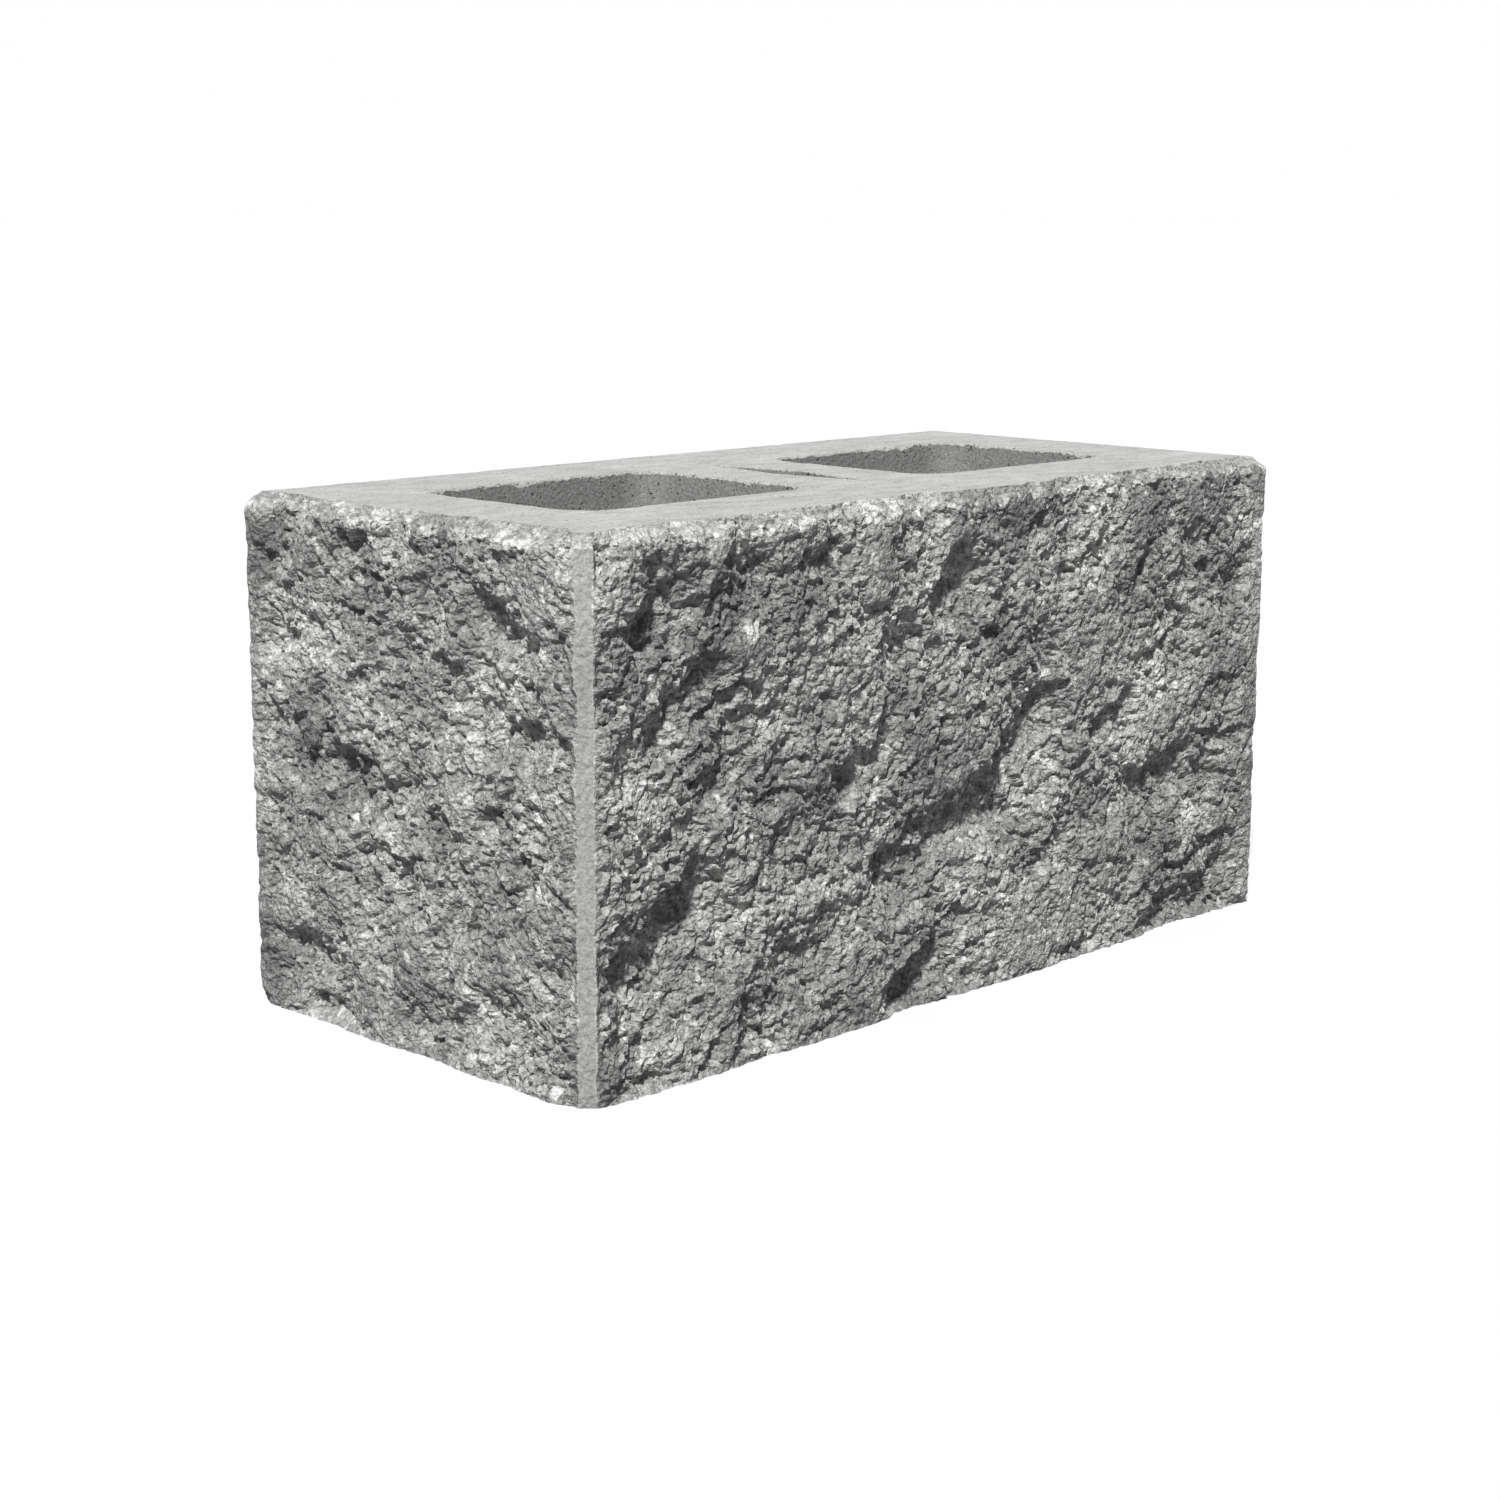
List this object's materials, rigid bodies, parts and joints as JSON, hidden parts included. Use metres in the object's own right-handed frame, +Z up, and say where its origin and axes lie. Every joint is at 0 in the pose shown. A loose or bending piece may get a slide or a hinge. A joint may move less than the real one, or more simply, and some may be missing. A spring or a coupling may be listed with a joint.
{
  "type": "concrete block",
  "caption": "Hollow split-face concrete building block with tapered cores, rough split long face and end, smooth corner strip, flat bed faces and a slit through the middle web.",
  "frame": {"origin": "centre of the base of the block's box, on the bed face that it stands on", "axes": "+X along the length away from the split end, +Y from the split long face to the plain back, +Z up"},
  "size_m": [0.4, 0.19, 0.2],
  "materials": {
    "concrete": "dry-cast grey concrete, rough and split on the long face and one end, flat and cast elsewhere"
  },
  "bodies": {
    "root": {"concrete_block": "concrete"}
  },
  "joints": []
}
